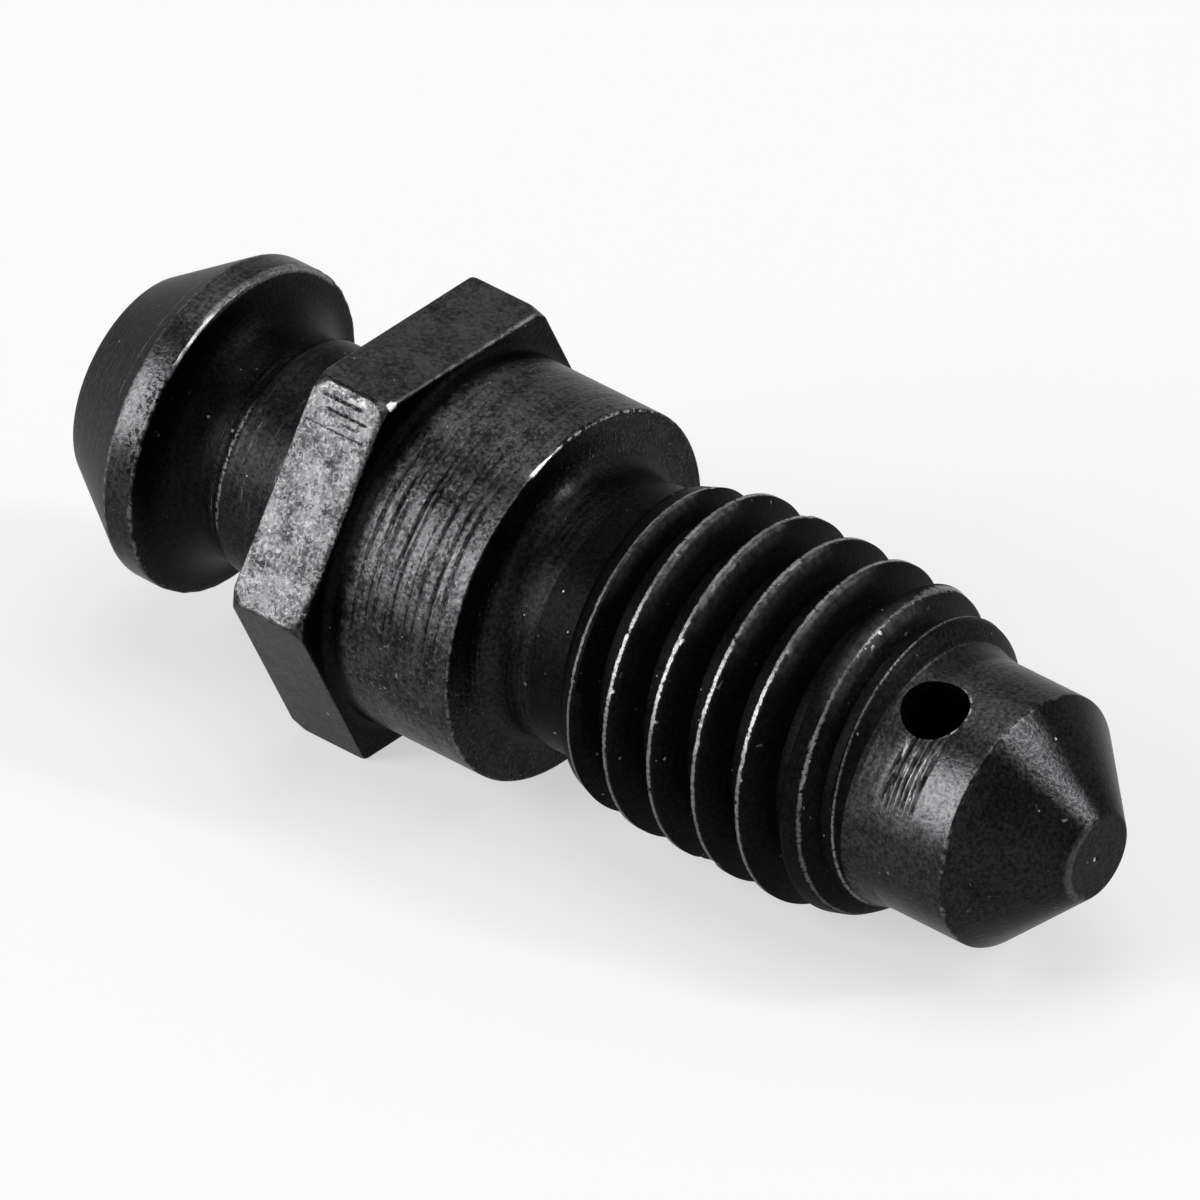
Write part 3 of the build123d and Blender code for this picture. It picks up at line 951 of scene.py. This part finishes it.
def turning(surface, hexagon):
    """0 to 1: how strongly the fine turning lines show, zone by zone."""
    z = surface.z
    head = z.band(NOSE_Z, RIM_Z, 0.05) * 0.45
    neck = z.band(RIM_Z, HEX_BACK_Z, 0.05) * 0.5
    collar = z.band(HEX_FRONT_Z, THREAD_START_Z, 0.05) * 0.8
    beyond = z.rise(THREAD_START_Z, THREAD_START_Z + 0.2) * 0.22
    return strongest(head, neck, collar, beyond) * (1 - hexagon.on_side)


def skin_tone_and_highlights(surface, hexagon, turned, on_collar):
    """0 to 1: from the darkest to the lightest oxide skin, lighter still in painted highlights on the land
    and the shank.
    """
    fine, coarse, blotch = surface.fine, surface.coarse, surface.blotch
    tone = coarse * 0.50 + fine * 0.40 + blotch * 0.20 + (surface.lines - 0.5) * turned * 0.8 - 0.05
    tone = tone + hexagon.on_side * ((fine - 0.5) * 0.4 + (blotch - 0.5) * 0.25 + 0.05)
    tone = tone + hexagon.on_front * (coarse * 0.3 + blotch * 0.6 - 0.40)
    tone = tone + (1 - hexagon.on_side) * (fine - 0.5) * 0.35
    tone = tone + on_collar * ((coarse - 0.5) * 0.6 + blotch * 0.5 - 0.19)
    # Painted highlights: the land and the shank are lighter where the key lamp's reflection lies on them
    lit_land = surface.z.band(LAND_Z, RIM_Z, 0.02) * surface.degrees.band(38, 68, 6) * 0.10
    lit_shank = surface.z.band(LEAD_FOOT_Z + 0.9, CONE_Z, 0.3) * surface.degrees.band(44, 66, 8) * 0.08
    return (tone + lit_land.max(lit_shank)).rise(0.24, 0.84)


def relief(surface, hexagon, turned, on_collar):
    """Height in millimetres of the turning lines and the grain, which is coarser on flat and collar."""
    lines = surface.lines * turned * 0.018
    fine = surface.fine * (hexagon.on_front * 0.004 + on_collar * 0.004 + 0.008)
    return lines + fine + surface.coarse * (hexagon.on_front * 0.010 + on_collar * 0.008 + 0.008)


def steel_material(matrix):
    """Black oxide on turned steel: turning marks, grain, painted shade in recesses and over whole zones, and
    bright worn edges with painted highlights.
    """
    material = bpy.data.materials.new("black_oxide_steel")
    material.use_nodes = True
    tree = material.node_tree
    shader = tree.nodes["Principled BSDF"]
    surface = Surface(tree, matrix)
    hexagon, thread = Hexagon(surface), Thread(surface)
    turned = turning(surface, hexagon)
    on_collar = surface.z.band(HEX_FRONT_Z, 0, 0.05)
    painted_shade_share = painted_shade(surface, hexagon, thread)
    scored = strokes(surface, hexagon)
    wear_and_highlights = bare_metal_and_highlights(surface, hexagon, thread)

    colour = mixed(tree, skin_tone_and_highlights(surface, hexagon, turned, on_collar), DARK_SKIN, LIGHT_SKIN)
    # Painted shade: recesses and whole zones take the near-black shade colour
    colour = mixed(tree, painted_shade_share, colour, PAINTED_SHADE_COLOUR)
    colour = mixed(tree, strongest(scored, land_pits(surface), groove_shade(surface)), colour, SCORE)
    # Bare metal at worn edges, and painted highlights, take the bright colour
    colour = mixed(tree, (wear_and_highlights * 1.3).min(1), colour, BARE_METAL_AND_HIGHLIGHT)
    tree.links.new(colour, shader.inputs["Base Color"])

    # Between the thread's turns the painted shade also takes the mirror away: the skin there reflects
    # nothing, so it stays dark
    shade_without_reflection = thread.inside * painted_shade_share * (1 - thread.unfinished * 1.3) * 0.5
    metallic = 1 - shade_without_reflection * (wear_and_highlights * 5).rise(1, 0)
    tree.links.new(metallic.socket, shader.inputs["Metallic"])
    shader.inputs["Specular IOR Level"].default_value = 0
    shader.inputs["Specular Tint"].default_value = SPECULAR_TINT
    before_cone = surface.z.rise(CONE_Z, CONE_Z - 0.1)
    roughness = 0.23 + surface.blotch * 0.08 + surface.fine * 0.12 + before_cone * painted_shade_share * 0.10
    tree.links.new(roughness.socket, shader.inputs["Roughness"])

    height = relief(surface, hexagon, turned, on_collar) - scored * 0.015
    bump = tree.nodes.new("ShaderNodeBump")
    bump.inputs["Distance"].default_value = MM
    tree.links.new(height.socket, bump.inputs["Height"])
    tree.links.new(bump.outputs["Normal"], shader.inputs["Normal"])
    return material


def floor_material():
    """White table. Camera and mirror rays see it mixed with plain white; the screw's shadow stays."""
    material = bpy.data.materials.new("white_table")
    material.use_nodes = True
    tree = material.node_tree
    shader = tree.nodes["Principled BSDF"]
    shader.inputs["Base Color"].default_value = FLOOR_COLOUR + (1,)
    shader.inputs["Roughness"].default_value = 0.9
    shader.inputs["Specular IOR Level"].default_value = 0
    white = tree.nodes.new("ShaderNodeEmission")
    white.inputs["Strength"].default_value = 1
    path = tree.nodes.new("ShaderNodeLightPath")
    seen = Field(tree, path.outputs["Is Camera Ray"]) + Field(tree, path.outputs["Is Glossy Ray"])
    mix = tree.nodes.new("ShaderNodeMixShader")
    tree.links.new((seen * WHITE_SHARE).min(WHITE_SHARE).socket, mix.inputs["Fac"])
    tree.links.new(shader.outputs["BSDF"], mix.inputs[1])
    tree.links.new(white.outputs["Emission"], mix.inputs[2])
    tree.links.new(mix.outputs["Shader"], tree.nodes["Material Output"].inputs["Surface"])
    return material


# ------------------------ stage

def add_floor():
    """A white square under the screw, many times its length."""
    size = FLOOR_SIZE
    corners = [(-size, -size, 0), (size, -size, 0), (size, size, 0), (-size, size, 0)]
    mesh = bpy.data.meshes.new("floor")
    mesh.from_pydata(corners, [], [(0, 1, 2, 3)])
    floor = bpy.data.objects.new("floor", mesh)
    bpy.context.scene.collection.objects.link(floor)
    mesh.materials.append(floor_material())


def add_softbox(name, direction, width, height, radiance, distance=0.5):
    """A rectangular lamp seen from the object in this direction; width and height are in radians."""
    towards = Vector(direction).normalized()
    lamp = bpy.data.lights.new(name, "AREA")
    lamp.shape = "RECTANGLE"
    lamp.size = 2 * distance * math.tan(width / 2)
    lamp.size_y = 2 * distance * math.tan(height / 2)
    lamp.energy = radiance * math.pi * lamp.size * lamp.size_y
    holder = bpy.data.objects.new(name, lamp)
    bpy.context.scene.collection.objects.link(holder)
    turn = towards.to_track_quat("Z", "Y").to_matrix().to_4x4()
    holder.matrix_world = Matrix.Translation(towards * distance) @ turn


def add_lights():
    """A broad key lamp from the front left, a small bright one from behind, and two soft ones above."""
    add_softbox("key", (-0.48, -0.80, 0.43), 0.40, 0.72, 6.4)
    add_softbox("back", (0.67, 0.35, 0.65), 0.14, 0.26, 21.5)
    add_softbox("above", (-0.53, 0.32, 0.78), 0.55, 0.65, 0.64)
    add_softbox("top", (0.05, 0.0, 1), 0.7, 0.7, 1.95)


def add_world():
    """Bright near the horizon, darker overhead."""
    world = bpy.data.worlds.new("studio")
    bpy.context.scene.world = world
    world.use_nodes = True
    tree = world.node_tree
    direction = tree.nodes.new("ShaderNodeTexCoord")
    split = tree.nodes.new("ShaderNodeSeparateXYZ")
    tree.links.new(direction.outputs["Generated"], split.inputs["Vector"])
    ramp = tree.nodes.new("ShaderNodeMapRange")
    ramp.interpolation_type = "SMOOTHSTEP"
    ramp.inputs["From Min"].default_value, ramp.inputs["To Min"].default_value = HORIZON
    ramp.inputs["From Max"].default_value, ramp.inputs["To Max"].default_value = OVERHEAD
    tree.links.new(split.outputs["Z"], ramp.inputs["Value"])
    tree.links.new(ramp.outputs["Result"], tree.nodes["Background"].inputs["Strength"])
    tree.nodes["Background"].inputs["Color"].default_value = (1, 1, 1, 1)


def add_camera(centre):
    """A long lens from the front right and above, turned by its roll."""
    back = Vector((
        math.sin(CAMERA_AZIMUTH) * math.cos(CAMERA_ELEVATION),
        -math.cos(CAMERA_AZIMUTH) * math.cos(CAMERA_ELEVATION),
        math.sin(CAMERA_ELEVATION),
    ))
    data = bpy.data.cameras.new("camera")
    data.lens, data.sensor_width = CAMERA_LENS, SENSOR_WIDTH
    data.clip_start, data.clip_end = 0.01, 10
    camera = bpy.data.objects.new("camera", data)
    bpy.context.scene.collection.objects.link(camera)
    place = Matrix.Translation(centre + AIM_OFFSET + back * CAMERA_DISTANCE)
    aimed = place @ back.to_track_quat("Z", "Y").to_matrix().to_4x4()
    camera.matrix_world = aimed @ Matrix.Rotation(CAMERA_ROLL, 4, "Z")
    bpy.context.scene.camera = camera


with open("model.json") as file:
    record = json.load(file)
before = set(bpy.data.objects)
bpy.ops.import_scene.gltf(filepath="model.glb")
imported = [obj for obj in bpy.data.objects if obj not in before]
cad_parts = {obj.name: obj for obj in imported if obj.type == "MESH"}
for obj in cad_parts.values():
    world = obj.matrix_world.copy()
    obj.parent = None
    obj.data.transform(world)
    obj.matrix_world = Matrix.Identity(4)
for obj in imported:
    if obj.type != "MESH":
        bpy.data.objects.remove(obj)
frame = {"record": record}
cad_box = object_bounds()
bpy.context.scene.view_settings.view_transform = "Standard"

placing = screw_frame(frame["record"])
screw = screw_piece()
screw.data.transform(placing)
screw.data.materials.clear()
screw.data.materials.append(steel_material(placing))
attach(screw, "root")
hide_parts("bleed_screw")

centre = (Vector(cad_box[0]) + Vector(cad_box[1])) / 2
add_floor()
add_lights()
add_world()
add_camera(centre)
